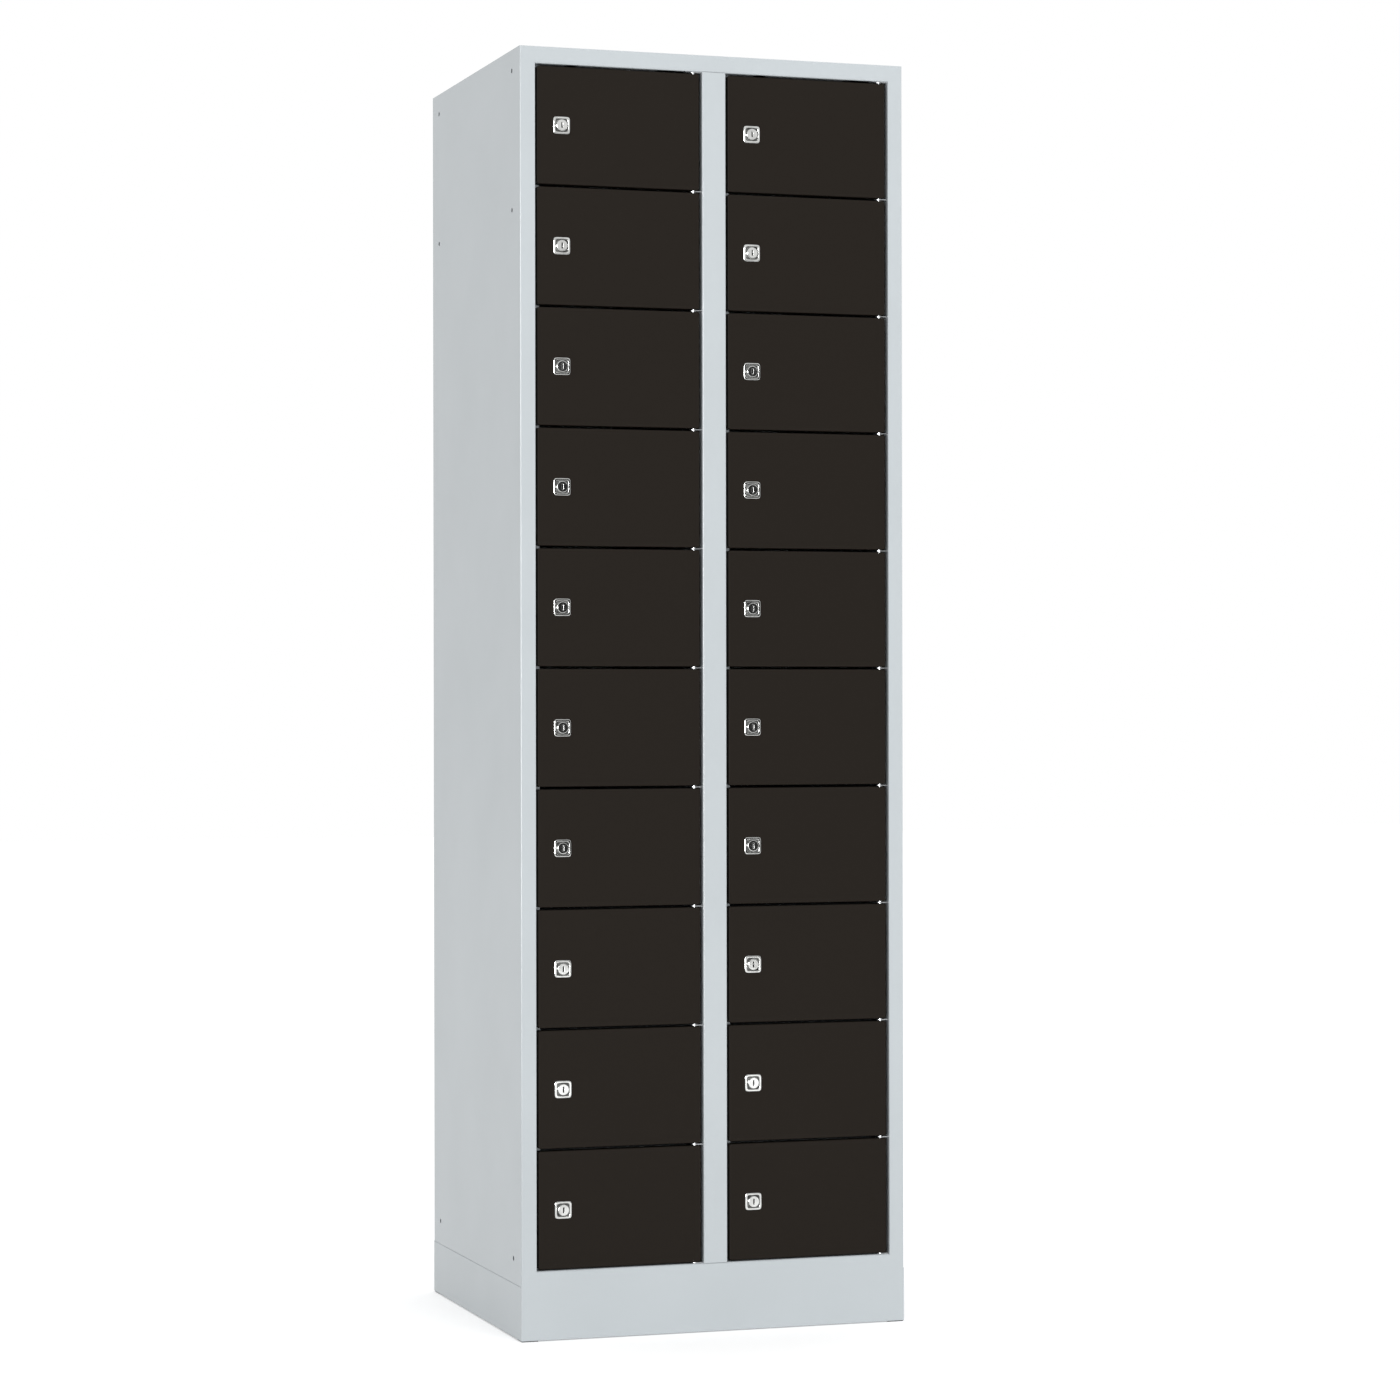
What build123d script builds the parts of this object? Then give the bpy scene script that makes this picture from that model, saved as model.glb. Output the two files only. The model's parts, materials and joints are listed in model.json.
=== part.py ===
from build123d import *
import os

os.makedirs("parts", exist_ok=True)

# Parcel locker: two columns of small steel compartments in a folded sheet carcass.
# Every compartment has a hinged pan door and a quarter-turn cam lock.
# Origin at the bottom centre, X to the right seen from the front, front towards -Y, Z up.
# All sizes are in millimetres.

# --- Driving dimensions ---------------------------------------------------------------
width = 585.0
depth = 500.0
height = 1850.0
rows = 10
sheet = 1.0
bend = 2.0            # centre-line radius of a fold

jamb_face = 22.5      # front face of each side panel
post_face = 36.0      # front face of the centre post
top_rail_face = 24.0
lower_band = 100.0    # height of the lower front panel
plinth_height = 79.0
floor_gap = 1.5       # plinth sheets stop this far above the floor
corner_strip = 3.5    # rounded corner of a side panel beside the full-width rails
corner_relief = 2.0   # rail ends this much closer to the opening than the jamb joint

stop_lip = 12.0       # door stop, standing into the opening on the lock side
inner_lip = 9.0       # stiffening lip on the hinge side
rear_flange = 20.0
tray_flange = 15.0    # downward flange of a shelf
shelf_drop = 2.5      # shelf top below the middle of the door gap, out of sight
fold_gap = 0.5        # clear of the inside of a fold

door_recess = 2.5     # door face behind the carcass front
door_depth = 18.0
door_gap = 4.0        # between two doors of a column
side_gap = 4.0        # door edge to jamb
top_gap = 3.0
bottom_gap = 2.0
stop_gap = 1.5        # door back edge to door stop
door_corner = 3.0
door_fold = 0.8

pin_radius = 2.5
pin_clearance = 0.08
pin_inset = 10.5      # pin axis to the opening's hinge side
pin_setback = 6.5     # pin axis behind the door face
pin_engagement = 4.0  # pin length inside a door
lug_thickness = 1.5
lug_border = 3.0      # plate around the pin
lug_depth = 12.0      # lug behind the pin axis

lock_inset = 40.0     # lock axis to the opening's lock side
escutcheon = 25.0
escutcheon_corner = 4.0
escutcheon_thickness = 2.5
recess_side = 18.5
recess_corner = 2.0
recess_depth = 1.0
plug_radius = 8.25
plug_clearance = 0.05
plug_stand_out = 2.0  # plug front past the escutcheon
key_slot = (2.0, 8.0, 9.0)
barrel_radius = 10.5
lock_nut_side = 26.0
lock_nut_thickness = 3.0
cam_thickness = 2.0
cam_width = 14.0
cam_overlap = 8.0     # cam tip behind the door stop
cam_gap = 0.5
cam_screw_radius = 2.0
cam_screw_length = 8.0
cam_head_radius = 4.5
cam_head_height = 2.5

buffer_radius = 4.0
buffer_thickness = 1.2
buffer_inset = 20.0   # from the top and the bottom of a door
side_hole_radius = 3.5
side_hole_front = 42.0
side_hole_rear = 40.0
side_hole_bottom = 114.5
side_hole_top_drops = (30.0, 230.0)
wall_hole_radius = 4.5
wall_hole_drop = 60.0
wall_hole_spacing = 285.0

glide_side = 24.0
glide_height = 10.0
bracket_side = 34.0
bracket_height = 40.0
bracket_thickness = 2.5
screw_radius = 4.0
screw_length = 57.0
screw_seat = 3.0
rivet_radius = 2.0
rivet_head_radius = 4.0
rivet_head_height = 1.2
rivets_per_side = 7
rivet_margin = 60.0   # end rivets from the ends of the wall
rivet_head_taper = 25.0
return_notches = ((48.0, 18.0), (187.0, 43.0))  # start and length from the lock side

# --- Derived places -------------------------------------------------------------------
half_width = width / 2
front = -depth / 2
back = depth / 2
inner_half = half_width - sheet
opening_half = half_width - jamb_face
rail_half = half_width - corner_strip
fold_reach = bend - sheet / 2 + fold_gap
opening_width = (width - 2 * jamb_face - post_face) / 2
opening_bottom = lower_band
opening_top = height - top_rail_face
pitch = (opening_top - opening_bottom - top_gap - bottom_gap + door_gap) / rows
door_height = pitch - door_gap
door_width = opening_width - 2 * side_gap
door_front = front + door_recess
door_back = door_front + door_depth
stop_plane = door_back + stop_gap
lip_back = stop_plane + sheet
post_half = post_face / 2
shelf_front = lip_back + sheet + fold_reach
shelf_back = back - 3 * sheet - fold_reach
jamb_low = opening_bottom - corner_relief
jamb_high = opening_top + corner_relief
cam_front = lip_back + cam_gap
cam_back = cam_front + cam_thickness
cam_reach = lock_inset - stop_lip + cam_overlap
plug_front = door_front - escutcheon_thickness - plug_stand_out
barrel_back = door_back + sheet / 2

# Each column: its name, and the X of its lock side, where the door opens.
columns = {"left": -half_width + jamb_face, "right": post_half}


def door_bottom(row):
    """Bottom of a door, row 0 being the lowest."""
    return opening_bottom + bottom_gap + row * pitch


def door_middle(row):
    return door_bottom(row) + door_height / 2


def seam(level):
    """Height of the shelf line between two doors; level 1 is above the lowest door."""
    return door_bottom(level) - door_gap / 2


def folded(*points):
    """Edge-on outline of a folded sheet, from the corners of its centre line."""
    with BuildSketch() as outline:
        with BuildLine():
            FilletPolyline(*points, radius=bend)
        trace(line_width=sheet)
    return outline.sketch


def save(piece, name):
    piece.part.label = name
    export_step(piece.part, f"parts/{name}.step")


def box_between(low, high, mode=Mode.ADD):
    """Box from its lowest to its highest corner."""
    middle = [(a + b) / 2 for a, b in zip(low, high)]
    with Locations(tuple(middle)):
        Box(*(b - a for a, b in zip(low, high)), mode=mode)


def across_wall(y, z, radius, x, length):
    """Round cut along X, centred on one wall."""
    with BuildSketch(Plane.YZ.offset(x - length / 2)) as hole:
        with Locations((y, z)):
            Circle(radius)
    extrude(hole.sketch, amount=length, mode=Mode.SUBTRACT)


# --- Side panels ----------------------------------------------------------------------
side_hole_rows = [side_hole_bottom] + [height - drop for drop in side_hole_top_drops]
side_hole_columns = [front + side_hole_front, back - side_hole_rear]


def side_panel(name, side, lip_end):
    """Wall with rear flange, rounded front corner, jamb and a lip ending at lip_end."""
    wall = side * (half_width - sheet / 2)
    jamb = side * (half_width - jamb_face + sheet / 2)
    rear = [(side * (half_width - rear_flange), back - sheet / 2), (wall, back - sheet / 2)]
    corner = (wall, front + sheet / 2)
    with BuildPart() as panel:
        with BuildSketch(Plane.XY.offset(plinth_height)):
            strip_end = (side * (half_width - corner_strip), front + sheet / 2)
            add(folded(*rear, corner, strip_end))
        extrude(amount=height - plinth_height)
        with BuildSketch(Plane.XY.offset(jamb_low)):
            add(folded(*rear, corner, (side * opening_half, front + sheet / 2)))
        extrude(amount=jamb_high - jamb_low)
        with BuildSketch(Plane.XY.offset(opening_bottom)):
            lip = [(jamb, front + sheet / 2), (jamb, stop_plane + sheet / 2)]
            add(folded(*rear, corner, *lip, (lip_end, stop_plane + sheet / 2)))
        extrude(amount=opening_top - opening_bottom)
        for y in side_hole_columns:
            for z in side_hole_rows:
                across_wall(y, z, side_hole_radius, wall, 3 * sheet)
        for z in rivet_rows:
            rivet_hole(side, z)
    save(panel, name)


# --- Blind rivets along both rear flanges -----------------------------------------------
rivet_low = plinth_height + rivet_margin
rivet_pitch = (height - rivet_margin - rivet_low) / (rivets_per_side - 1)
rivet_rows = [rivet_low + n * rivet_pitch for n in range(rivets_per_side)]
rivet_x = half_width - (rear_flange + sheet + fold_reach) / 2


def rivet_hole(side, z):
    with BuildSketch(Plane.XZ.offset(-back - sheet)) as hole:
        with Locations((side * rivet_x, z)):
            Circle(rivet_radius)
    extrude(hole.sketch, amount=4 * sheet, mode=Mode.SUBTRACT)


side_panel("left_side_panel", -1, -half_width + jamb_face + stop_lip)
side_panel("right_side_panel", 1, half_width - jamb_face + inner_lip)

with BuildPart() as back_rivets:
    for side in (-1, 1):
        for z in rivet_rows:
            with BuildSketch(Plane.XZ.offset(-back)):
                with Locations((side * rivet_x, z)):
                    Circle(rivet_radius)
            extrude(amount=3 * sheet)
            with BuildSketch(Plane.XZ.offset(-back)):
                with Locations((side * rivet_x, z)):
                    Circle(rivet_head_radius)
            extrude(amount=-rivet_head_height, taper=rivet_head_taper)
save(back_rivets, "back_rivets")

# --- Back panel -------------------------------------------------------------------------
with BuildPart() as back_panel:
    back_half = inner_half - fold_reach
    box_between((-back_half, back - 2 * sheet, plinth_height), (back_half, back - sheet, height - sheet))
    with BuildSketch(Plane.XZ.offset(-back)):
        with Locations((0, height - wall_hole_drop)):
            with GridLocations(wall_hole_spacing, 0, 2, 1):
                Circle(wall_hole_radius)
    extrude(amount=3 * sheet, mode=Mode.SUBTRACT)
    for side in (-1, 1):
        for z in rivet_rows:
            rivet_hole(side, z)
save(back_panel, "back_panel")


# --- Centre post between the columns, and the partition behind it -----------------------
with BuildPart() as centre_post:
    face_y = front + sheet / 2
    lip_y = stop_plane + sheet / 2
    wall_x = post_half - sheet / 2
    with BuildSketch(Plane.XY.offset(opening_bottom)):
        hinge_side = [(-post_half + inner_lip, lip_y), (-wall_x, lip_y), (-wall_x, face_y)]
        lock_side = [(wall_x, face_y), (wall_x, lip_y), (post_half + stop_lip, lip_y)]
        add(folded(*hinge_side, *lock_side))
    extrude(amount=opening_top - opening_bottom)
save(centre_post, "centre_post")

with BuildPart() as centre_partition:
    partition_front = lip_back + sheet / 2
    partition_back = back - 2.5 * sheet
    partition_flange = -post_half + sheet + bend
    with BuildSketch(Plane.XY.offset(opening_bottom)):
        ends = [(partition_flange, partition_front), (0, partition_front)]
        add(folded(*ends, (0, partition_back), (partition_flange, partition_back)))
    extrude(amount=height - sheet - opening_bottom)
save(centre_partition, "centre_partition")


# --- Horizontal trays -------------------------------------------------------------------
def tray(low_x, high_x, low_y, high_y, top, flange):
    """Sheet at the top with a downward flange on all four sides."""
    box_between((low_x, low_y, top - flange), (high_x, high_y, top))
    low = (low_x + sheet, low_y + sheet, top - flange - sheet)
    box_between(low, (high_x - sheet, high_y - sheet, top - sheet), Mode.SUBTRACT)


bays = {"left": (-inner_half, -sheet / 2), "right": (sheet / 2, inner_half)}
for column, (bay_low, bay_high) in bays.items():
    with BuildPart() as shelves:
        for level in range(1, rows):
            shelf_top = seam(level) - shelf_drop
            tray(bay_low, bay_high, shelf_front, shelf_back, shelf_top, tray_flange)
    save(shelves, f"shelves_{column}")

with BuildPart() as floor_panel:
    floor_flange = opening_bottom - plinth_height
    tray(-inner_half, inner_half, lip_back + sheet, shelf_back, opening_bottom, floor_flange)
save(floor_panel, "floor_panel")

with BuildPart() as top_panel:
    flat = height - sheet
    tray(-inner_half, inner_half, shelf_front, shelf_back, height, tray_flange)
    box_between((-inner_half, shelf_back, flat), (inner_half, back - sheet - fold_reach, height))
    box_between((-inner_half, front + corner_strip, flat), (inner_half, shelf_front, height))
    box_between((-rail_half, front, jamb_high), (rail_half, front + sheet, height))
    box_between((-rail_half, front, flat), (rail_half, front + corner_strip, height))
    rail_line = opening_top + sheet / 2
    with BuildSketch(Plane.YZ.offset(-opening_half)):
        rail = [(front + sheet / 2, flat), (front + sheet / 2, rail_line)]
        add(folded(*rail, (stop_plane, rail_line)))
    extrude(amount=2 * opening_half)
    for lock_x in columns.values():
        for start, length in return_notches:
            low = (lock_x + start, stop_plane - door_depth, opening_top - sheet)
            high = (lock_x + start + length, stop_plane + sheet, opening_top + 2 * sheet)
            box_between(low, high, Mode.SUBTRACT)
    front_slot = (-sheet / 2, shelf_front, flat - tray_flange)
    box_between(front_slot, (sheet / 2, shelf_front + sheet, flat), Mode.SUBTRACT)
    rear_slot = (-sheet / 2, shelf_back - sheet, flat - tray_flange)
    box_between(rear_slot, (sheet / 2, shelf_back, flat), Mode.SUBTRACT)
save(top_panel, "top_panel")

# --- Plinth -----------------------------------------------------------------------------
with BuildPart() as lower_front_panel:
    box_between((-half_width, front, floor_gap), (half_width, front + sheet, plinth_height))
    box_between((-rail_half, front, plinth_height), (rail_half, front + sheet, jamb_low))
    with BuildSketch(Plane.YZ.offset(-opening_half)):
        sill = opening_bottom - sheet / 2
        add(folded((front + sheet / 2, plinth_height), (front + sheet / 2, sill), (lip_back + sheet, sill)))
    extrude(amount=2 * opening_half)
    turn_half = inner_half - glide_side - fold_gap
    turn = (-turn_half, front + sheet, floor_gap)
    box_between(turn, (turn_half, front + tray_flange, floor_gap + sheet))
save(lower_front_panel, "lower_front_panel")

for name, side in (("left", -1), ("right", 1)):
    with BuildPart() as plinth_panel:
        outer = side * (half_width - sheet / 2)
        with BuildSketch(Plane.XZ.offset(-back + sheet)):
            crest = plinth_height - sheet / 2
            add(folded((outer, floor_gap), (outer, crest), (outer - side * tray_flange, crest)))
        extrude(amount=depth - 2 * sheet)
    save(plinth_panel, f"plinth_{name}_panel")

with BuildPart() as plinth_rear_panel:
    box_between((-half_width, back - sheet, floor_gap), (half_width, back, plinth_height))
save(plinth_rear_panel, "plinth_rear_panel")

# --- Feet: glide, levelling screw and bracket at each corner -----------------------------
glide_x = inner_half - glide_side / 2
glide_y = back - sheet - glide_side / 2

with BuildPart() as foot_glides:
    with GridLocations(2 * glide_x, 2 * glide_y, 2, 2):
        Box(glide_side, glide_side, glide_height, align=(Align.CENTER, Align.CENTER, Align.MIN))
    with BuildSketch(Plane.XY.offset(screw_seat)):
        with GridLocations(2 * glide_x, 2 * glide_y, 2, 2):
            Circle(screw_radius)
    extrude(amount=glide_height, mode=Mode.SUBTRACT)
save(foot_glides, "foot_glides")

with BuildPart() as levelling_screws:
    with BuildSketch(Plane.XY.offset(screw_seat)):
        with GridLocations(2 * glide_x, 2 * glide_y, 2, 2):
            Circle(screw_radius)
    extrude(amount=screw_length)
save(levelling_screws, "levelling_screws")

with BuildPart() as foot_brackets:
    bracket_x = inner_half - bracket_side / 2
    bracket_y = back - sheet - bracket_side / 2
    with BuildSketch(Plane.XY.offset(bracket_height)):
        with GridLocations(2 * bracket_x, 2 * bracket_y, 2, 2):
            Rectangle(bracket_side, bracket_side)
        with GridLocations(2 * glide_x, 2 * glide_y, 2, 2):
            Circle(screw_radius, mode=Mode.SUBTRACT)
    extrude(amount=bracket_thickness)
save(foot_brackets, "foot_brackets")


# --- Hinges: a lug in every door gap, with a pin that serves the doors above and below ----
pin_y = door_front + pin_setback


def pin_x(column):
    return columns[column] + opening_width - pin_inset


def lug_levels():
    """Bottom of each lug with the bottom and top of its pin, from the sill to the top rail."""
    levels = [(opening_bottom, opening_bottom, door_bottom(0) + pin_engagement)]
    for level in range(1, rows):
        middle = seam(level)
        reach = door_gap / 2 + pin_engagement
        levels.append((middle - lug_thickness / 2, middle - reach, middle + reach))
    door_top = door_bottom(rows - 1) + door_height
    levels.append((opening_top - lug_thickness, door_top - pin_engagement, opening_top))
    return levels


with BuildPart() as hinge_lugs:
    lug_radius = pin_radius + lug_border
    for column in columns:
        for lug_bottom, pin_low, pin_high in lug_levels():
            with BuildSketch(Plane.XY.offset(lug_bottom)):
                with Locations((pin_x(column), pin_y)):
                    Circle(lug_radius)
                with Locations((pin_x(column), pin_y - lug_radius)):
                    lug_size = (pin_inset, lug_radius + lug_depth)
                    Rectangle(*lug_size, align=(Align.MIN, Align.MIN))
                with Locations((pin_x(column), pin_y)):
                    Circle(pin_radius, mode=Mode.SUBTRACT)
            extrude(amount=lug_thickness)
save(hinge_lugs, "hinge_lugs")

with BuildPart() as pivot_pins:
    for column in columns:
        for lug_bottom, pin_low, pin_high in lug_levels():
            with BuildSketch(Plane.XY.offset(pin_low)):
                with Locations((pin_x(column), pin_y)):
                    Circle(pin_radius)
            extrude(amount=pin_high - pin_low)
save(pivot_pins, "pivot_pins")

# --- Rubber buffers on the door stops -----------------------------------------------------
with BuildPart() as door_buffers:
    buffer_x = side_gap + buffer_radius - sheet
    buffer_reach = door_height / 2 - buffer_inset
    with BuildSketch(Plane.XZ.offset(-stop_plane)):
        for lock_x in columns.values():
            for row in range(rows):
                with Locations((lock_x + buffer_x, door_middle(row))):
                    with GridLocations(0, 2 * buffer_reach, 1, 2):
                        Circle(buffer_radius)
    extrude(amount=buffer_thickness)
save(door_buffers, "door_buffers")


# --- Doors ----------------------------------------------------------------------------------
def door_pan(lock_x, row):
    """Pan folded back on four sides, pierced for the lock and for two pins."""
    middle_x = lock_x + side_gap + door_width / 2
    hinge_x = lock_x + opening_width - pin_inset
    with BuildPart() as pan:
        with BuildSketch(Plane.XZ.offset(-door_back)):
            with Locations((middle_x, door_middle(row))):
                RectangleRounded(door_width, door_height, door_corner)
        extrude(amount=door_depth)
        fillet(pan.faces().sort_by(Axis.Y)[0].edges(), door_fold)
        with BuildSketch(Plane.XZ.offset(-door_back)):
            with Locations((middle_x, door_middle(row))):
                inside = (door_width - 2 * sheet, door_height - 2 * sheet)
                RectangleRounded(*inside, door_corner - sheet)
        extrude(amount=door_depth - sheet, mode=Mode.SUBTRACT)
        with BuildSketch(Plane.XZ.offset(-door_back)):
            with Locations((lock_x + lock_inset, door_middle(row))):
                Circle(barrel_radius)
        extrude(amount=door_depth, mode=Mode.SUBTRACT)
        with BuildSketch(Plane.XY.offset(door_bottom(row))):
            with Locations((hinge_x, pin_y)):
                Circle(pin_radius + pin_clearance)
        extrude(amount=door_height, mode=Mode.SUBTRACT)
    return pan.part


def lock_housing(lock_x, row):
    """Rounded square escutcheon with a shallow square recess, and its barrel."""
    axis = (lock_x + lock_inset, door_middle(row))
    with BuildPart() as housing:
        with BuildSketch(Plane.XZ.offset(-door_front)):
            with Locations(axis):
                RectangleRounded(escutcheon, escutcheon, escutcheon_corner)
        extrude(amount=escutcheon_thickness)
        with BuildSketch(Plane.XZ.offset(-door_front + escutcheon_thickness)):
            with Locations(axis):
                RectangleRounded(recess_side, recess_side, recess_corner)
        extrude(amount=-recess_depth, mode=Mode.SUBTRACT)
        with BuildSketch(Plane.XZ.offset(-barrel_back)):
            with Locations(axis):
                Circle(barrel_radius)
        extrude(amount=barrel_back - door_front)
        with BuildSketch(Plane.XZ.offset(-barrel_back)):
            with Locations(axis):
                Circle(plug_radius + plug_clearance)
        extrude(amount=barrel_back - plug_front, mode=Mode.SUBTRACT)
    return housing.part


def lock_nut(lock_x, row):
    """Hexagon nut that clamps the door sheet against the escutcheon."""
    with BuildPart() as nut:
        with BuildSketch(Plane.XZ.offset(-door_front - sheet)):
            with Locations((lock_x + lock_inset, door_middle(row))):
                RegularPolygon(lock_nut_side / 2, 6, major_radius=False)
                Circle(barrel_radius, mode=Mode.SUBTRACT)
        extrude(amount=-lock_nut_thickness)
    return nut.part


for column, lock_x in columns.items():
    for row in range(rows):
        door_solids = [door_pan(lock_x, row), lock_housing(lock_x, row), lock_nut(lock_x, row)]
        name = f"door_{column}_{row + 1:02d}"
        assembly = Compound(label=name, children=door_solids)
        export_step(assembly, f"parts/{name}.step")


# --- Lock plugs, each with its cam and cam screw ---------------------------------------------
def lock_plug(axis):
    """Round plug with a blind key slot in front and a tapped hole behind."""
    with BuildPart() as plug:
        with BuildSketch(Plane.XZ.offset(-cam_front)):
            with Locations(axis):
                Circle(plug_radius)
        extrude(amount=cam_front - plug_front)
        with BuildSketch(Plane.XZ.offset(-plug_front)):
            with Locations(axis):
                Rectangle(key_slot[0], key_slot[1])
        extrude(amount=-key_slot[2], mode=Mode.SUBTRACT)
        with BuildSketch(Plane.XZ.offset(-cam_front)):
            with Locations(axis):
                Circle(cam_screw_radius)
        extrude(amount=cam_screw_length - cam_thickness, mode=Mode.SUBTRACT)
    return plug.part


def lock_cam(axis):
    """Flat cam that hangs down when unlocked."""
    span = cam_reach - cam_width / 2
    with BuildPart() as cam:
        with BuildSketch(Plane.XZ.offset(-cam_back)):
            with Locations(axis):
                Circle(cam_width / 2)
            with Locations((axis[0], axis[1] - span / 2)):
                Rectangle(cam_width, span)
            with Locations((axis[0], axis[1] - span)):
                Circle(cam_width / 2)
            with Locations(axis):
                Circle(cam_screw_radius, mode=Mode.SUBTRACT)
        extrude(amount=cam_thickness)
    return cam.part


def cam_screw(axis):
    with BuildPart() as screw:
        with BuildSketch(Plane.XZ.offset(-cam_back)):
            with Locations(axis):
                Circle(cam_head_radius)
        extrude(amount=-cam_head_height)
        with BuildSketch(Plane.XZ.offset(-cam_back)):
            with Locations(axis):
                Circle(cam_screw_radius)
        extrude(amount=cam_screw_length)
    return screw.part


for column, lock_x in columns.items():
    for row in range(rows):
        axis = (lock_x + lock_inset, door_middle(row))
        name = f"lock_{column}_{row + 1:02d}"
        assembly = Compound(label=name, children=[lock_plug(axis), lock_cam(axis), cam_screw(axis)])
        export_step(assembly, f"parts/{name}.step")
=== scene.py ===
import json
import math

import bpy
import numpy as np
from mathutils import Matrix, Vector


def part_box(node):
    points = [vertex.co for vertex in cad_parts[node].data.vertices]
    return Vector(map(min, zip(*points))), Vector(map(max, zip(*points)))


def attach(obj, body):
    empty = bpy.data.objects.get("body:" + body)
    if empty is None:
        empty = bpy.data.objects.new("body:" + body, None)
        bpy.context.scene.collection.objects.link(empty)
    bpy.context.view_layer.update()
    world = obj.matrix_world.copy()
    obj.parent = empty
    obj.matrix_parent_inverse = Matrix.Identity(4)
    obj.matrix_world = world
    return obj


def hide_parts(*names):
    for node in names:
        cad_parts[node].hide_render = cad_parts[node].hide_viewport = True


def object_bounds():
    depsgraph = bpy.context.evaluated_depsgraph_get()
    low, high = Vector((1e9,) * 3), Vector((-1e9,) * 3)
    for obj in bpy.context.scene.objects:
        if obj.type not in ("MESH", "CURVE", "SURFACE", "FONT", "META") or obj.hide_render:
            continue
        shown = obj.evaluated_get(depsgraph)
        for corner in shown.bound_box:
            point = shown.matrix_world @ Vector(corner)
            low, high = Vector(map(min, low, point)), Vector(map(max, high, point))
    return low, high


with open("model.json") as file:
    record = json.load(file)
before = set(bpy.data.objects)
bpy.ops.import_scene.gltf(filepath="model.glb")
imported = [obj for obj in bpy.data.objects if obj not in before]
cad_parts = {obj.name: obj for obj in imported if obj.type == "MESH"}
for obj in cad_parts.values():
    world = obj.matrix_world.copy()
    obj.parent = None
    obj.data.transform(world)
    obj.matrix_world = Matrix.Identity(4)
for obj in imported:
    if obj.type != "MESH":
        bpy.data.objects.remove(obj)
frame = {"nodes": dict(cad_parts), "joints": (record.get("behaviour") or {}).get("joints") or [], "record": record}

bl_info = {
    "name": "Parcel locker looks",
    "version": (1, 0, 0),
    "blender": (4, 5, 0),
    "location": "View3D > Sidebar > Locker",
    "description": "Doors, locks, finishes and stage of a parcel locker",
    "category": "Add Mesh",
}

CAD_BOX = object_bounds()
COMPARTMENTS = sorted(
    name.removeprefix("door_")
    for name in frame["nodes"]
    if name.startswith(("door_left_", "door_right_"))
)
AXES = {joint["name"]: np.array(joint["pos_m"]) for joint in frame["joints"]}
MM = 0.001
LEAST_ROUND = 0.2 * MM  # a corner of sheet or metal is never sharper than this


# --- Surfaces -------------------------------------------------------------------------
def piece_from(name, points, quads, fans, body, slot, material, sunk=None):
    """A mesh object from arrays of points, four-sided faces and triangles.

    sunk holds a number for each point, 1 where shade is painted dark into the colour and the gloss is dulled;
    materials read it.

    The enclosed volume is the sum over triangles of a . (b x c) / 6; where it comes out
    negative the surface is inside out, and every face is turned round.
    """
    triangles = np.concatenate([quads[:, [0, 1, 2]], quads[:, [0, 2, 3]], fans])
    a, b, c = (points[triangles[:, k]] for k in range(3))
    if np.einsum("ij,ij->i", a, np.cross(b, c)).sum() < 0:
        quads, fans = quads[:, ::-1], fans[:, ::-1]
    mesh = bpy.data.meshes.new(name)
    mesh.from_pydata(points.tolist(), [], quads.tolist() + fans.tolist())
    mesh.polygons.foreach_set("use_smooth", np.ones(len(mesh.polygons), bool))
    mesh.materials.append(bpy.data.materials[material])
    if sunk is not None:
        values = np.zeros(len(points))
        values[: len(sunk)] = sunk
        mesh.attributes.new("sunk", "FLOAT", "POINT").data.foreach_set("value", values)
    piece = bpy.data.objects.new(name, mesh)
    bpy.context.scene.collection.objects.link(piece)
    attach(piece, body)
    return piece


def ring_surface(rings, around=False):
    """Faces that join each ring of points to the next, for rings shaped (levels, points, 3).

    The last ring joins the first where around is true; elsewhere the first and the last
    ring are closed by triangles to the middle of the ring.
    """
    levels, count = rings.shape[:2]
    index = np.arange(levels * count).reshape(levels, count)
    following = np.roll(index, -1, axis=0)
    if not around:
        index, following = index[:-1], following[:-1]
    sides = (index, np.roll(index, -1, axis=1), np.roll(following, -1, axis=1), following)
    quads = np.stack(sides, axis=-1).reshape(-1, 4)
    points = rings.reshape(-1, 3)
    if around:
        return points, quads, np.empty((0, 3), int)
    first, last = np.arange(count), np.arange(count) + (levels - 1) * count
    poles = np.array([len(points), len(points) + 1])
    points = np.concatenate([points, rings[[0, -1]].mean(axis=1)])
    start = np.stack([np.full(count, poles[0]), np.roll(first, -1), first], axis=-1)
    end = np.stack([np.full(count, poles[1]), last, np.roll(last, -1)], axis=-1)
    return points, quads, np.concatenate([start, end])


def rounded_path(corners, radii, steps=6, hold=0.25 * MM):
    """Points of a path with each inner corner rounded by an arc and a point held on either side.

    At a corner the arc's centre lies on the bisector at radius / sin(half the inner angle),
    and it touches both runs at radius / tan(half the inner angle) from the corner.
    """
    path = [np.array(corners[0])]
    for before, corner, after, radius in zip(corners, corners[1:], corners[2:], radii):
        before, corner, after = np.array(before), np.array(corner), np.array(after)
        back = (before - corner) / np.linalg.norm(before - corner)
        on = (after - corner) / np.linalg.norm(after - corner)
        half = math.acos(np.clip(back @ on, -1, 1)) / 2
        reach = radius / math.tan(half)
        centre = corner + (back + on) / np.linalg.norm(back + on) * radius / math.sin(half)
        turn = math.pi / 2 - half
        middle = (corner - centre) / np.linalg.norm(corner - centre)
        side = np.array([-middle[1], middle[0]])
        side = side if side @ back > 0 else -side
        angles = np.linspace(turn, -turn, steps)[:, None]
        arc = centre + radius * (np.cos(angles) * middle + np.sin(angles) * side)
        path += [corner + back * (reach + hold), *arc, corner + on * (reach + hold)]
    path.append(np.array(corners[-1]))
    return np.array(path)


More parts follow.
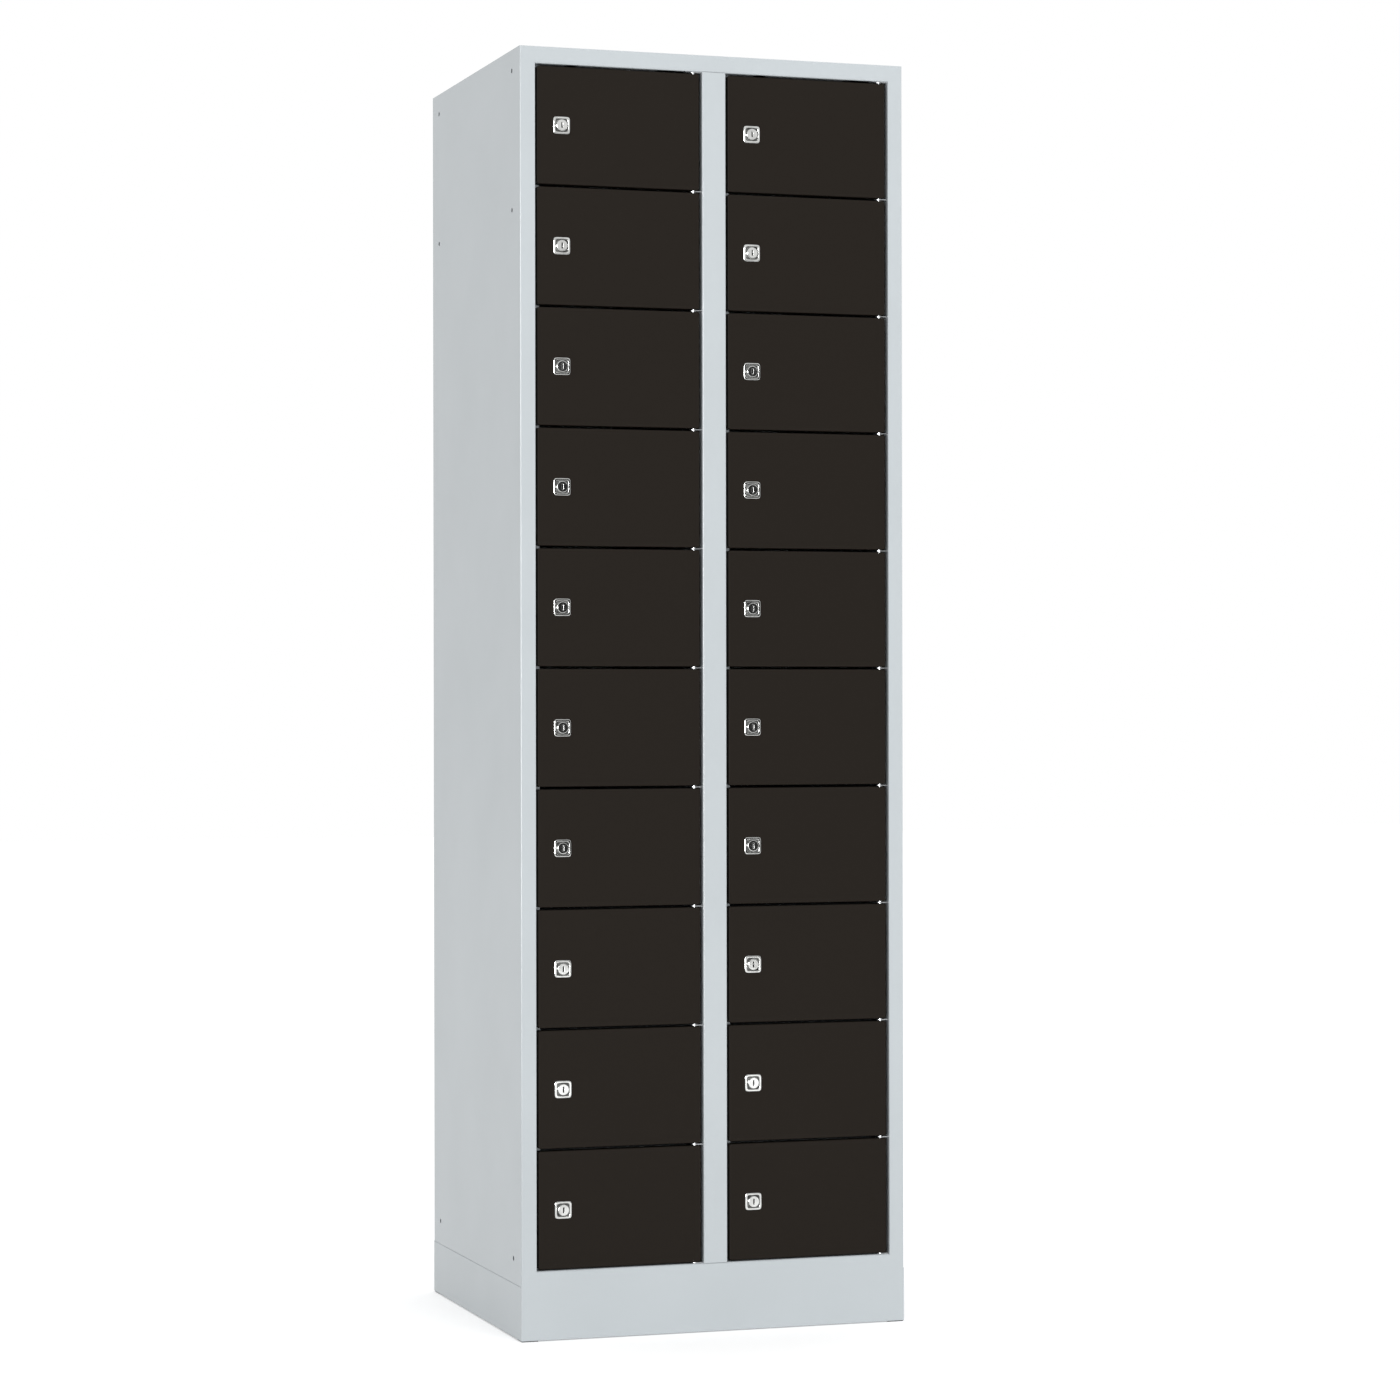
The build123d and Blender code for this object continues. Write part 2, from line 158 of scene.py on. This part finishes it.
def rounded_rectangle(half_x, half_z, radius, steps=8, hold=0.6 * MM):
    """Outline of a rectangle whose corners are radius * (cos a, sin a) about their own middles.

    A point is held beside each arc, so that the long sides stay flat when shaded.
    """
    quarter = np.linspace(0, math.pi / 2, steps)
    arc = radius * np.stack([np.cos(quarter), np.sin(quarter)], axis=-1)
    arc = np.concatenate([arc[:1] - [0, hold], arc, arc[-1:] - [hold, 0]])
    turns = []
    for sign_x, sign_z in ((1, 1), (-1, 1), (-1, -1), (1, -1)):
        corner = (arc + [half_x - radius, half_z - radius]) * [sign_x, sign_z]
        turns.append(corner if sign_x * sign_z > 0 else corner[::-1])
    return np.concatenate(turns)


def squircle(half_x, half_z, power, count):
    """Outline with |x / half_x|^power + |z / half_z|^power = 1, at even angles before scaling."""
    angle = np.linspace(0, 2 * math.pi, count, endpoint=False)
    x, z = np.cos(angle), np.sin(angle)
    reach = (np.abs(x) ** power + np.abs(z) ** power) ** (-1 / power)
    return np.stack([half_x * x * reach, half_z * z * reach], axis=-1)


def hexagon(half_flats, count):
    """Outline at even angles, at half_flats / cos(angle from the middle of its side)."""
    angle = np.linspace(0, 2 * math.pi, count, endpoint=False)
    off_side = (angle + math.pi / 6) % (math.pi / 3) - math.pi / 6
    reach = half_flats / np.cos(off_side)
    return np.stack([reach * np.cos(angle), reach * np.sin(angle)], axis=-1)


def stacked(outlines, depths, centre):
    """Rings in space: each outline lies across Y at its own depth, about centre's X and Z."""
    rings = np.zeros((len(outlines), len(outlines[0]), 3))
    rings[:, :, [0, 2]] = np.array(outlines) + [centre[0], centre[2]]
    rings[:, :, 1] = np.array(depths)[:, None]
    return rings


# --- Shader graph ---------------------------------------------------------------------
class Signal:
    """An output socket that Python's arithmetic works on."""

    def __init__(self, graph, socket):
        self.graph = graph
        self.socket = socket

    def math(self, operation, *values):
        inputs = dict(enumerate(values))
        return self.graph.node("ShaderNodeMath", {"operation": operation}, inputs)

    def __add__(self, other):
        return self.math("ADD", self, other)

    def __radd__(self, other):
        return self.math("ADD", other, self)

    def __mul__(self, other):
        return self.math("MULTIPLY", self, other)

    def __rmul__(self, other):
        return self.math("MULTIPLY", other, self)


class Graph:
    """The nodes of one material, with a Principled shader at the end."""

    def __init__(self, name):
        material = bpy.data.materials.new(name)
        material.use_nodes = True
        self.tree = material.node_tree
        self.shader = self.tree.nodes["Principled BSDF"]
        self.place = self.node("ShaderNodeTexCoord", {}, {}, "Object")

    def node(self, kind, settings, inputs, output=0):
        """A node of any kind: its settings first, then a value or a link for each socket."""
        node = self.tree.nodes.new(kind)
        for key, value in settings.items():
            setattr(node, key, value)
        for key, value in inputs.items():
            self.feed(node.inputs[key], value)
        return Signal(self, node.outputs[output])

    def feed(self, socket, value):
        """Link a signal to a socket, or set the socket to a plain value."""
        if isinstance(value, Signal):
            self.tree.links.new(value.socket, socket)
        else:
            socket.default_value = value

    def finish(self, **sockets):
        """Feed the shader's sockets, each named with _ for a space."""
        for key, value in sockets.items():
            self.feed(self.shader.inputs[key.replace("_", " ")], value)

    def noise(self, scale, detail=2.0, stretch=(1, 1, 1)):
        """Noise with about scale patches to the metre, squeezed by stretch along X, Y and Z."""
        place = self.node("ShaderNodeMapping", {}, {"Vector": self.place, "Scale": stretch})
        inputs = {"Vector": place, "Scale": scale, "Detail": detail}
        return self.node("ShaderNodeTexNoise", {}, inputs)

    def blend(self, factor, first, second):
        """Colour between first and second by factor, on the Mix node's own colour sockets."""
        factor_in, first_in, second_in, colour_out = 0, 6, 7, 2
        inputs = {factor_in: factor, first_in: (*first, 1), second_in: (*second, 1)}
        return self.node("ShaderNodeMix", {"data_type": "RGBA"}, inputs, colour_out)

    def steps(self, value, low, high):
        """0 below low, 1 above high and an even rise between."""
        return self.node("ShaderNodeMapRange", {}, {0: value, 1: low, 2: high})

    def bump(self, height, strength, distance):
        """Normal of a surface that stands up to distance metres high."""
        inputs = {"Height": height, "Strength": strength, "Distance": distance}
        return self.node("ShaderNodeBump", {}, inputs)


def shade(colour, factor):
    """The same colour, darker for a factor below 1 and lighter above."""
    return tuple(channel * factor for channel in colour)


def powder_coat(name, colour, roughness, peel, specular, sheen):
    """Baked powder: fine orange peel, faint clouds of tone and gloss, a few settled specks."""
    coarse_share, darkest, peel_height, sheen_roughness = 0.6, 0.955, 0.08 * MM, 0.22
    graph = Graph(name)
    clouds = graph.noise(scale=7.0, detail=3.0)
    specks = graph.steps(graph.noise(scale=420.0, detail=1.0), low=0.68, high=0.76)
    tone = graph.steps(clouds, low=0.3, high=0.7) * 0.7 + specks * 0.3
    fine, coarse = graph.noise(scale=1300.0, detail=1.0), graph.noise(scale=450.0, detail=1.0)
    graph.finish(
        Base_Color=graph.blend(tone, colour, shade(colour, darkest)),
        Roughness=roughness - 0.04 + 0.08 * clouds + 0.05 * specks,
        Normal=graph.bump(fine + coarse_share * coarse, peel, peel_height),
        Specular_IOR_Level=specular,
        Coat_Weight=sheen,
        Coat_Roughness=sheen_roughness,
    )


def bright_metal(name, colour, roughness, stretch, scratch):
    """Plated metal: drawn lines along one way, thin stains, and painted shade, dark and dull, where it is sunk."""
    darkest, scratch_height = 0.03, 0.02 * MM
    graph = Graph(name)
    lines = graph.noise(scale=900.0, detail=2.0, stretch=stretch)
    stains = graph.steps(graph.noise(scale=60.0, detail=3.0), low=0.45, high=0.75)
    # painted shade: the sunk mask blends the colour towards darkest, the same dark tone as the stains, and dulls
    # the gloss in recesses and key slots
    sunk = graph.node("ShaderNodeAttribute", {"attribute_name": "sunk"}, {}, "Fac")
    graph.finish(
        Base_Color=graph.blend(0.3 * stains + sunk, colour, shade(colour, darkest)),
        Roughness=roughness + 0.04 * lines + 0.08 * stains + 0.6 * sunk,
        Normal=graph.bump(lines, scratch, scratch_height),
        Metallic=1.0,
    )


def moulded(name, colour, roughness):
    """Moulded rubber or plastic: a fine matt grain with a dusty bloom."""
    dustiest, grain_strength, grain_height = 1.7, 0.25, 0.05 * MM
    graph = Graph(name)
    bloom = graph.noise(scale=90.0, detail=3.0)
    grain = graph.noise(scale=2600.0, detail=1.0)
    graph.finish(
        Base_Color=graph.blend(bloom, colour, shade(colour, dustiest)),
        Roughness=roughness + 0.15 * bloom,
        Normal=graph.bump(grain, grain_strength, grain_height),
    )


# --- Settings -------------------------------------------------------------------------
def length(name, description, default):
    return bpy.props.FloatProperty(
        name=name, description=description, default=default, unit="LENGTH", min=0.0, precision=5
    )


def place(name, description, default):
    return bpy.props.FloatVectorProperty(
        name=name, description=description, default=default, subtype="TRANSLATION", size=3
    )


def angle(name, description, degrees):
    return bpy.props.FloatProperty(
        name=name, description=description, default=math.radians(degrees), subtype="ANGLE"
    )


def number(name, description, default, unit="NONE"):
    return bpy.props.FloatProperty(name=name, description=description, default=default, unit=unit)


def colour(name, description, default):
    return bpy.props.FloatVectorProperty(
        name=name, description=description, default=default, subtype="COLOR", size=3, min=0, max=1
    )


class DoorSettings(bpy.types.PropertyGroup):
    corner_radius: length("Corner radius", "Rounding of the four corners of a door", 3.0 * MM)
    fold_radius: length("Fold radius", "Outer radius where the face folds back", 1.4 * MM)
    sheet: length("Sheet", "Thickness of the door sheet", 1.0 * MM)


class LockSettings(bpy.types.PropertyGroup):
    escutcheon_size: length("Escutcheon", "Side of the square lock plate", 25.0 * MM)
    escutcheon_height: length("Plate height", "Height of the lock plate on the door", 2.5 * MM)
    recess_size: length("Recess", "Side of the sunk square around the plug", 18.5 * MM)
    recess_depth: length("Recess depth", "Depth of the sunk square", 1.0 * MM)
    plug_radius: length("Plug radius", "Radius of the turning plug", 8.25 * MM)
    plug_clearance: length("Plug clearance", "Gap between the plug and its barrel", 0.05 * MM)
    barrel_radius: length("Barrel radius", "Radius of the threaded barrel", 10.5 * MM)
    barrel_length: length("Barrel length", "Length of the barrel behind the door face", 18.5 * MM)
    nut_flats: length("Nut", "Distance across the flats of the nut", 26.0 * MM)
    nut_thickness: length("Nut thickness", "Thickness of the nut", 3.0 * MM)
    key_slot_width: length("Key slot width", "Width of the key slot", 2.0 * MM)
    key_slot_height: length("Key slot height", "Height of the key slot", 8.0 * MM)
    key_slot_depth: length("Key slot depth", "Depth of the key slot", 9.0 * MM)
    cam_thickness: length("Cam thickness", "Thickness of the cam plate", 2.0 * MM)
    cam_width: length("Cam width", "Width of the cam plate", 14.0 * MM)
    cam_screw_radius: length("Cam screw head", "Radius of the screw head on the cam", 4.5 * MM)
    cam_screw_height: length("Screw head height", "Height of that screw head", 2.5 * MM)


class FinishSettings(bpy.types.PropertyGroup):
    carcass: colour("Carcass", "Light grey powder coat", (0.412, 0.443, 0.460))
    door: colour("Door", "Dark brown-grey powder coat", (0.0136, 0.0108, 0.0084))
    plating: colour("Plating", "Bright plated locks", (0.66, 0.665, 0.65))
    zinc: colour("Zinc", "Zinc-plated pins and screws", (0.50, 0.51, 0.52))
    rubber: colour("Rubber", "Buffers on the door stops", (0.020, 0.020, 0.021))
    plastic: colour("Plastic", "Glides of the feet", (0.035, 0.035, 0.037))
    edge_softness: length("Edge softness", "Rounding of the cut edges of the sheet", 0.4 * MM)


class StageSettings(bpy.types.PropertyGroup):
    camera_place: place("Camera", "Where the camera stands", (-1.7501, -5.4455, 0.9077))
    camera_turn: angle("Turn", "Turn of the camera about the vertical", -18.389)
    camera_tilt: angle("Tilt", "Tilt of the camera above level", 0.085)
    camera_roll: angle("Roll", "Roll of the camera about its own line of sight", -0.092)
    lens: number("Lens", "Focal length in millimetres", 97.215, "CAMERA")
    card_low: place("Card corner", "Lowest corner of the mirrored dark card", (-0.4, -2.6, 0.38))
    card_high: place("Card far corner", "Highest corner of that card", (1.9, -2.6, 1.72))
    key_power: number("Key light", "Power of the light in front", 172.0, "POWER")
    key_place: place("Key place", "Middle of the light in front", (1.0, -6.5, 1.5))
    rim_power: number("Rim light", "Power of the light that the folds mirror", 800.0, "POWER")
    rim_place: place("Rim place", "Middle of the light that the folds mirror", (-4.4, -3.0, 1.3))
    floor_half: length("Floor", "Half the side of the square floor", 20.0)
    floor_glow: number("Floor glow", "The floor's own light, white beside the plinth", 0.22)


# --- Pieces ---------------------------------------------------------------------------
class LOCKER_OT_finishes(bpy.types.Operator):
    """Make the finishes and put them on the folded sheet parts and the small hardware"""

    bl_idname = "locker.finishes"
    bl_label = "Finishes"

    # finish for each of the record's material slots
    materials = {
        "carcass_grey": "carcass_paint",
        "door_brown": "door_paint",
        "lock_chrome": "lock_plating",
        "zinc": "zinc_plating",
        "rubber": "buffer_rubber",
        "black_plastic": "glide_plastic",
    }
    same_point = 0.01 * MM  # corners nearer than this are one
    least_turn = math.radians(40)  # an edge that turns less stays as it is
    large_faces_first = 100

    def execute(self, context):
        finish = context.scene.locker_finish
        carcass, door = tuple(finish.carcass), tuple(finish.door)
        plating, zinc = tuple(finish.plating), tuple(finish.zinc)
        rubber, plastic = tuple(finish.rubber), tuple(finish.plastic)
        powder_coat("carcass_paint", carcass, roughness=0.46, peel=0.08, specular=0.12, sheen=0.35)
        powder_coat("door_paint", door, roughness=0.52, peel=0.12, specular=0.05, sheen=0.0)
        bright_metal("lock_plating", plating, roughness=0.05, stretch=(1, 1, 1), scratch=0.02)
        bright_metal("zinc_plating", zinc, roughness=0.28, stretch=(1, 1, 12), scratch=0.08)
        moulded("buffer_rubber", rubber, roughness=0.7)
        moulded("glide_plastic", plastic, roughness=0.5)
        for entry in frame["record"]["subparts"]:
            node = frame["nodes"][entry["node"]]
            node.data.materials.clear()
            material = self.materials[entry["material_slot"]]
            node.data.materials.append(bpy.data.materials[material])
            self.soften(node, finish.edge_softness)
        return {"FINISHED"}

    def soften(self, node, width):
        """Join the loose triangles, break the cut edges with a small round, keep faces flat."""
        node.modifiers.new("join", "WELD").merge_threshold = self.same_point
        edge = node.modifiers.new("soft_edges", "BEVEL")
        edge.width = width
        edge.segments = 2
        edge.limit_method = "ANGLE"
        edge.angle_limit = self.least_turn
        edge.harden_normals = True
        node.modifiers.new("flat_faces", "WEIGHTED_NORMAL").weight = self.large_faces_first


class LOCKER_OT_doors(bpy.types.Operator):
    """Make the door pans, folded back on all four sides"""

    bl_idname = "locker.doors"
    bl_label = "Doors"
    rim = 12 * MM  # the part of the face that has its own ring of points
    least_corner = 0.4 * MM

    def execute(self, context):
        door = context.scene.locker_door
        plate = context.scene.locker_lock.escutcheon_height
        for name in COMPARTMENTS:
            low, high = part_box(f"door_{name}")
            centre = [(a + b) / 2 for a, b in zip(low, high)]
            half = ((high[0] - low[0]) / 2, (high[2] - low[2]) / 2)
            section = self.section(door, low[1] + plate, high[1])
            outlines = []
            for inset, _ in section:
                radius = max(door.corner_radius - inset, self.least_corner)
                outlines.append(rounded_rectangle(half[0] - inset, half[1] - inset, radius))
            rings = stacked(outlines, section[:, 1], centre)
            parts = ring_surface(rings)
            pan = piece_from(f"pan_{name}", *parts, f"door_{name}", "door_brown", "door_paint")
            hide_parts(f"door_{name}")
        return {"FINISHED"}

    def section(self, door, face, rear):
        """Inset and depth along the folded sheet, from the face round the flange to the inside."""
        sheet, fold = door.sheet, door.fold_radius
        inside = face + sheet
        cut_edge = 0.35 * sheet
        corners = [(self.rim, face), (0, face), (0, rear), (sheet, rear), (sheet, inside)]
        radii = [fold, cut_edge, cut_edge, max(fold - sheet, LEAST_ROUND)]
        return rounded_path([*corners, (self.rim, inside)], radii)


class LOCKER_OT_locks(bpy.types.Operator):
    """Make the lock plates, nuts, plugs, cams and cam screws"""

    bl_idname = "locker.locks"
    bl_label = "Locks"
    around = 96  # points in each ring
    circle = 2  # power of a squircle that is a circle

    def execute(self, context):
        lock = context.scene.locker_lock
        for name in COMPARTMENTS:
            low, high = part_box(f"door_{name}")
            cam_low, cam_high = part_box(f"lock_{name}")
            axis = AXES[f"lock_turn_{name}"]
            face = low[1] + lock.escutcheon_height
            self.housing(lock, name, axis, face)
            self.nut(lock, name, axis, face + context.scene.locker_door.sheet)
            cam_back = cam_high[1] - lock.cam_screw_height
            plug = self.plug(lock, name, axis, cam_low[1], cam_back - lock.cam_thickness)
            self.cam(lock, name, axis, cam_back, cam_low[2])
            self.screw(lock, name, axis, cam_back)
            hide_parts(f"lock_{name}")
        return {"FINISHED"}

    def outline(self, half, power=circle):
        return squircle(half, half, power, self.around)

    def housing(self, lock, name, axis, face):
        """Square plate with bulging sides and a sunk square, on a round barrel: a closed ring.

        The power of each outline is 2 + 5 * squareness, and squareness grows evenly from 0 at
        the bore to 1 at the recess. The barrel stays round.
        """
        most_power, near, near_barrel = 5, 0.01 * MM, 0.3 * MM
        half, recess = lock.escutcheon_size / 2, lock.recess_size / 2
        bore, barrel = lock.plug_radius + lock.plug_clearance, lock.barrel_radius
        front = face - lock.escutcheon_height
        floor = front + lock.recess_depth
        back = face + lock.barrel_length
        corners = [
            (bore, back), (bore, floor), (recess, floor), (recess, front),
            (half, front), (half, face), (barrel, face), (barrel, back), (bore, back),
        ]
        recess_round, rim_round, plate_round, barrel_round = 0.35 * MM, 0.7 * MM, 1.1 * MM, 0.4 * MM
        radii = [LEAST_ROUND, recess_round, rim_round, plate_round]
        radii += [LEAST_ROUND, LEAST_ROUND, barrel_round]
        path = rounded_path(corners, radii)[:-1]
        reach, depth = path.T
        squareness = np.clip((reach - bore) / (recess - bore), 0, 1)
        squareness[(depth > face - near) & (reach <= barrel + near_barrel)] = 0
        outlines = [
            self.outline(size, self.circle + most_power * weight)
            for size, weight in zip(reach, squareness)
        ]
        rings = stacked(outlines, depth, axis)
        parts = ring_surface(rings, around=True)
        # painted shade: the recess darkens with depth below the plate's front, up to 0.75 of the way to the
        # plating's dark tone
        shade_from, shade_full, darkest = 0.3 * MM, 0.9 * MM, 0.75
        painted_shade_weight = np.interp(depth - front, [shade_from, shade_full], [0, darkest])
        painted_shade_weight *= reach < recess + shade_from
        shadow = np.repeat(painted_shade_weight, self.around)
        looks = ("lock_chrome", "lock_plating", shadow)
        piece_from(f"housing_{name}", *parts, f"door_{name}", *looks)

    def nut(self, lock, name, axis, seat):
        """Hexagon whose corners are cut back by a cone at both faces, around the barrel."""
        clearance, chamfer, flat_cut = 0.05 * MM, 0.5 * MM, 0.2 * MM
        flat, bore = lock.nut_flats / 2, lock.barrel_radius + clearance
        back = seat + lock.nut_thickness
        side = hexagon(flat, self.around)
        rim = side / np.linalg.norm(side, axis=1)[:, None] * (flat - flat_cut)
        outlines = [self.outline(bore), rim, side, side, rim, self.outline(bore)]
        depths = [seat, seat, seat + chamfer, back - chamfer, back, back]
        parts = ring_surface(stacked(outlines, depths, axis), around=True)
        piece_from(f"nut_{name}", *parts, f"door_{name}", "zinc", "zinc_plating")

    def plug(self, lock, name, axis, front, back):
        """Turned plug with a rounded rim, whose face narrows to the key slot and sinks into it."""
        half = np.array([lock.key_slot_width, lock.key_slot_height]) / 2
        radius = lock.plug_radius
        face_from, end_to = 0.62 * radius, 0.3 * radius
        front_round, end_round, slot_round = 0.9 * MM, 0.3 * MM, 0.1 * MM
        lip, lip_power, apron_power = 0.25 * MM, 6, 5
        corners = [(face_from, front), (radius, front), (radius, back), (end_to, back)]
        wall = rounded_path(corners, [front_round, end_round])
        inside = squircle(*half, lip_power, self.around)
        mouth = squircle(*(half + lip), lip_power, self.around)
        apron = squircle(*(half + 2 * lip), apron_power, self.around)
        slot = [inside * 0.5, inside * 0.95, inside, inside]
        outlines = [*slot, mouth, apron, *(self.outline(size) for size in wall[:, 0])]
        bottom = front + lock.key_slot_depth
        depths = [bottom, bottom, bottom - slot_round, front + lip, front, front, *wall[:, 1]]
        parts = ring_surface(stacked(outlines, depths, axis))
        # painted shade: the inside of the key slot is painted fully dark and dull
        painted_shade_weight = np.zeros(len(outlines))
        painted_shade_weight[: len(slot)] = 1.0
        looks = ("lock_chrome", "lock_plating", np.repeat(painted_shade_weight, self.around))
        return piece_from(f"plug_{name}", *parts, f"lock_{name}", *looks)

    def cam(self, lock, name, axis, back, tip):
        """Flat plate with round ends, from around the axis down to its tip, with broken edges."""
        half = lock.cam_width / 2
        reach = axis[2] - half - tip
        centre = (axis[0], back, axis[2] - reach / 2)
        edge, inner, thick = 0.3 * MM, 3 * MM, lock.cam_thickness
        insets = [inner, edge, 0, 0, edge, inner]
        depths = [back - depth for depth in (0, 0, edge, thick - edge, thick, thick)]
        outlines = []
        for inset in insets:
            end = self.outline(half - inset)
            shift = np.sign(end[:, 1]) * reach / 2
            outlines.append(end + np.stack([np.zeros(self.around), shift], axis=-1))
        parts = ring_surface(stacked(outlines, depths, centre))
        piece_from(f"cam_{name}", *parts, f"lock_{name}", "zinc", "zinc_plating")

    def screw(self, lock, name, axis, seat):
        """Domed head with a cross recess, whose outline is a squircle of a power below 1."""
        radius, height = lock.cam_screw_radius, lock.cam_screw_height
        top, dome = seat + height, 0.9 * MM
        inner, star_power, taper, floor = 0.6 * radius, 0.55, 0.8, 0.45
        path = rounded_path([(0.99 * radius, seat), (radius, top), (inner, top)], [dome])
        outlines = [self.outline(size) for size in path[:, 0]]
        star = squircle(inner, inner, star_power, self.around)
        outlines += [star, star * taper]
        depths = [*path[:, 1], top, seat + height * floor]
        parts = ring_surface(stacked(outlines, depths, axis))
        piece_from(f"cam_screw_{name}", *parts, f"lock_{name}", "zinc", "zinc_plating")


class LOCKER_OT_stage(bpy.types.Operator):
    """Set the pale floor, the soft studio light and the camera"""

    bl_idname = "locker.stage"
    bl_label = "Stage"
    key_size = (3.0, 3.0)
    rim_size = (4.0, 2.5)
    sensor_width = 36

    def execute(self, context):
        stage = context.scene.locker_stage
        self.floor(stage)
        self.world(context)
        key = self.softbox("key_softbox", stage.key_power, stage.key_place, self.key_size)
        key.visible_glossy = False
        rim = self.softbox("rim_softbox", stage.rim_power, stage.rim_place, self.rim_size)
        rim.visible_diffuse = False
        self.card(stage.card_low, stage.card_high)
        self.camera(context, stage)
        context.scene.view_settings.view_transform = "Standard"
        return {"FINISHED"}

    def camera(self, context, stage):
        """Camera turned about the vertical, then tilted, then rolled about its line of sight."""
        camera = bpy.data.objects.new("camera", bpy.data.cameras.new("camera"))
        camera.data.lens = stage.lens
        camera.data.sensor_width = self.sensor_width
        turn = Matrix.Rotation(stage.camera_turn, 4, "Z")
        tilt = Matrix.Rotation(math.pi / 2 + stage.camera_tilt, 4, "X")
        roll = Matrix.Rotation(stage.camera_roll, 4, "Z")
        camera.matrix_world = Matrix.Translation(stage.camera_place) @ turn @ tilt @ roll
        context.scene.collection.objects.link(camera)
        context.scene.camera = camera

    def flat(self, name, corners, grey, glow=0.0):
        """A plain four-cornered stage piece with a matt, faintly clouded paint of a given grey."""
        mesh = bpy.data.meshes.new(name)
        mesh.from_pydata(corners, [], [(0, 1, 2, 3)])
        sheet = bpy.data.objects.new(name, mesh)
        bpy.context.scene.collection.objects.link(sheet)
        colour, darkest, matt = (grey,) * 3, 0.98, 0.9
        graph = Graph(f"{name}_paint")
        tint = graph.blend(graph.noise(scale=1.5), colour, shade(colour, darkest))
        graph.finish(
            Base_Color=tint,
            Roughness=matt,
            Specular_IOR_Level=0.0,
            Emission_Color=tint,
            Emission_Strength=glow,
        )
        mesh.materials.append(bpy.data.materials[f"{name}_paint"])
        return sheet

    def floor(self, stage):
        """Square of pale floor about the locker, at the height of its feet."""
        half = stage.floor_half
        corners = [(-half, -half, 0), (half, -half, 0), (half, half, 0), (-half, half, 0)]
        self.flat("studio_floor", corners, grey=0.95, glow=stage.floor_glow)

    def card(self, low, high):
        """Upright dark card in front of the locker, seen only in its reflections."""
        corners = [tuple(low), (high[0], low[1], low[2]), tuple(high), (low[0], high[1], high[2])]
        sheet = self.flat("dark_card", corners, grey=0.04)
        sheet.visible_camera = sheet.visible_diffuse = sheet.visible_shadow = False

    def world(self, context):
        """Even white light from all round."""
        world = bpy.data.worlds.new("studio")
        world.use_nodes = True
        background = world.node_tree.nodes["Background"]
        background.inputs["Color"].default_value = (1, 1, 1, 1)
        background.inputs["Strength"].default_value = 1.0
        context.scene.world = world

    def softbox(self, name, power, place, size):
        """Rectangular soft light that faces the middle of the locker."""
        light = bpy.data.lights.new(name, "AREA")
        light.shape = "RECTANGLE"
        light.size, light.size_y = size
        light.energy = power
        lamp = bpy.data.objects.new(name, light)
        middle = (CAD_BOX[0] + CAD_BOX[1]) / 2
        lamp.location = place
        aim = middle - lamp.location
        lamp.rotation_mode = "QUATERNION"
        lamp.rotation_quaternion = aim.to_track_quat("-Z", "Y")
        bpy.context.scene.collection.objects.link(lamp)
        return lamp


class LOCKER_PT_panel(bpy.types.Panel):
    """Buttons and sizes for the locker"""

    bl_label = "Parcel locker"
    bl_space_type = "VIEW_3D"
    bl_region_type = "UI"
    bl_category = "Locker"

    def draw(self, context):
        for operator in OPERATORS:
            self.layout.operator(operator.bl_idname)
        for attribute, group in SETTINGS.items():
            box = self.layout.box()
            for key in group.__annotations__:
                box.prop(getattr(context.scene, attribute), key)


SETTINGS = {
    "locker_door": DoorSettings,
    "locker_lock": LockSettings,
    "locker_finish": FinishSettings,
    "locker_stage": StageSettings,
}
OPERATORS = (LOCKER_OT_finishes, LOCKER_OT_doors, LOCKER_OT_locks, LOCKER_OT_stage)


def register():
    for attribute, group in SETTINGS.items():
        bpy.utils.register_class(group)
        setattr(bpy.types.Scene, attribute, bpy.props.PointerProperty(type=group))
    for item in (*OPERATORS, LOCKER_PT_panel):
        bpy.utils.register_class(item)


def unregister():
    for item in (*OPERATORS, LOCKER_PT_panel):
        bpy.utils.unregister_class(item)
    for attribute, group in SETTINGS.items():
        delattr(bpy.types.Scene, attribute)
        bpy.utils.unregister_class(group)


def main():
    register()
    bpy.ops.locker.finishes()
    bpy.ops.locker.doors()
    bpy.ops.locker.locks()
    bpy.ops.locker.stage()


if __name__ == "__main__":
    main()
